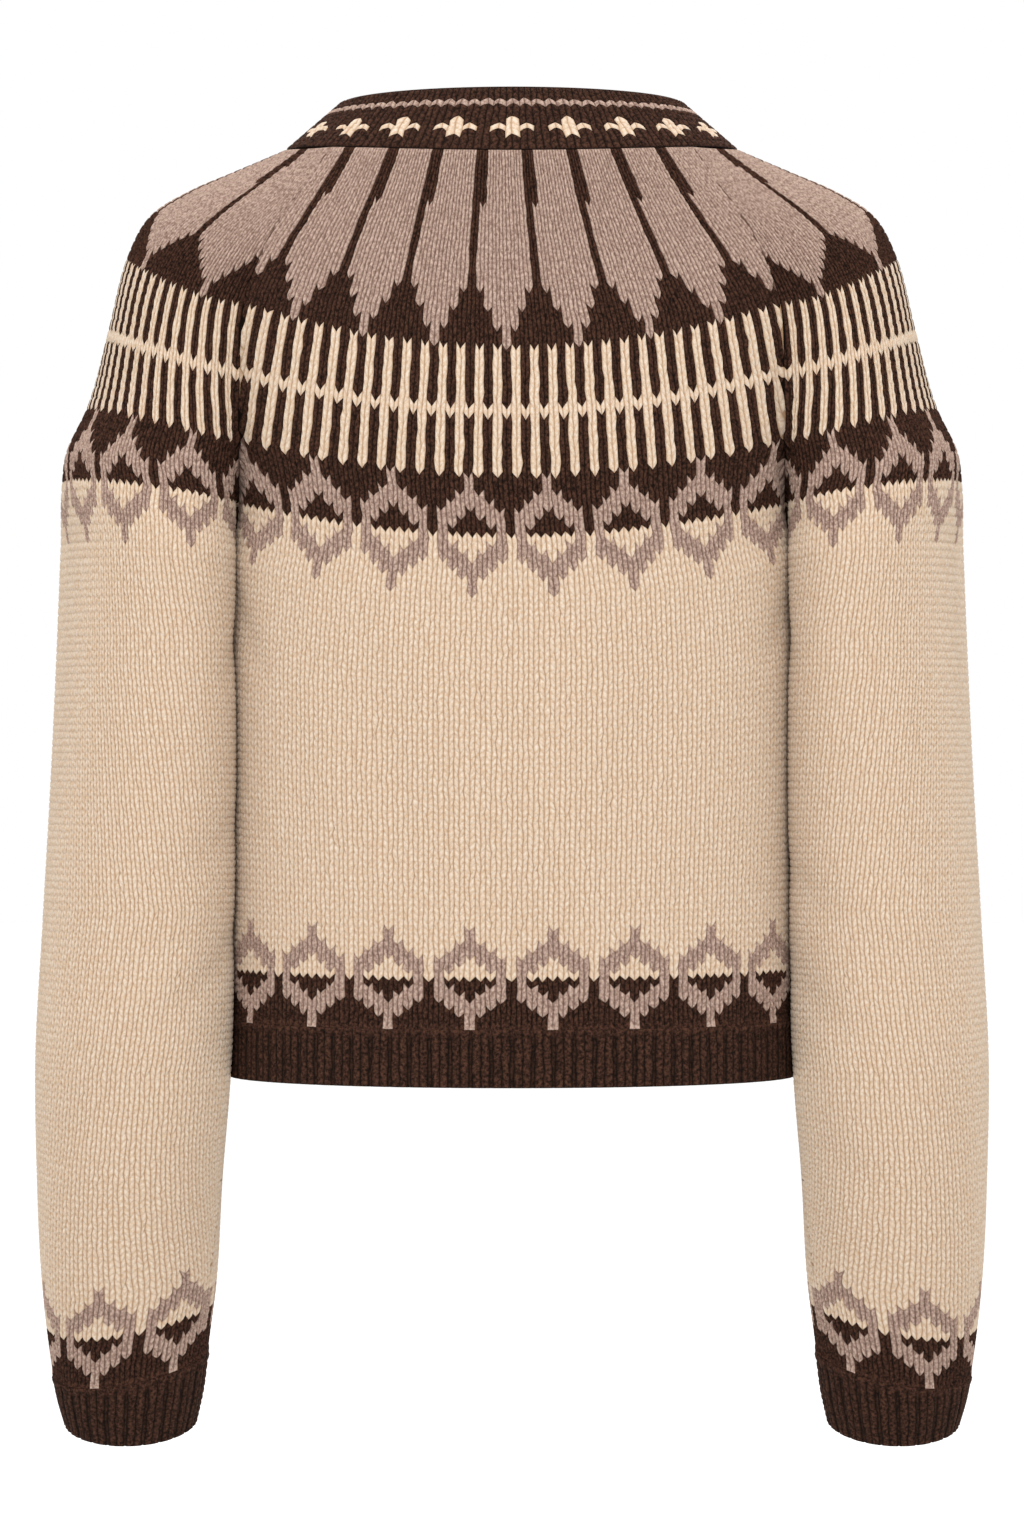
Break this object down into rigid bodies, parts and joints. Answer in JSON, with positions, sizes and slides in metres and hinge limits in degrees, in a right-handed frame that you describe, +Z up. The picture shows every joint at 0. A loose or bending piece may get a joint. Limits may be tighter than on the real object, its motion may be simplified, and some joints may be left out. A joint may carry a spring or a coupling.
{
  "type": "nordic yoke cardigan",
  "caption": "Hollow knitted wool cardigan with a patterned round yoke, raglan sleeves and a buttoned front, worn over the upper body for warmth.",
  "frame": {"origin": "middle of the neck opening, level with the sides of the neck seam, where a wearer's neck and shoulders hold the garment", "axes": "+Z up along the standing wearer, -Y to the garment's front with the buttons, +X to the wearer's left"},
  "size_m": [0.511, 0.245, 0.7228],
  "materials": {
    "cream_wool": "soft matte knitted wool with a light halo of fibres",
    "brown_wool": "soft matte ribbed wool",
    "horn": "satin, as polished horn"
  },
  "bodies": {
    "root": {"back": "cream_wool", "left_front": "cream_wool", "right_front": "cream_wool", "left_sleeve": "cream_wool", "right_sleeve": "cream_wool", "neckband": "brown_wool", "left_button_band": "brown_wool", "right_button_band": "brown_wool", "button_1": "horn", "button_2": "horn", "button_3": "horn", "button_4": "horn", "button_5": "horn", "button_6": "horn", "button_7": "horn"}
  },
  "joints": []
}
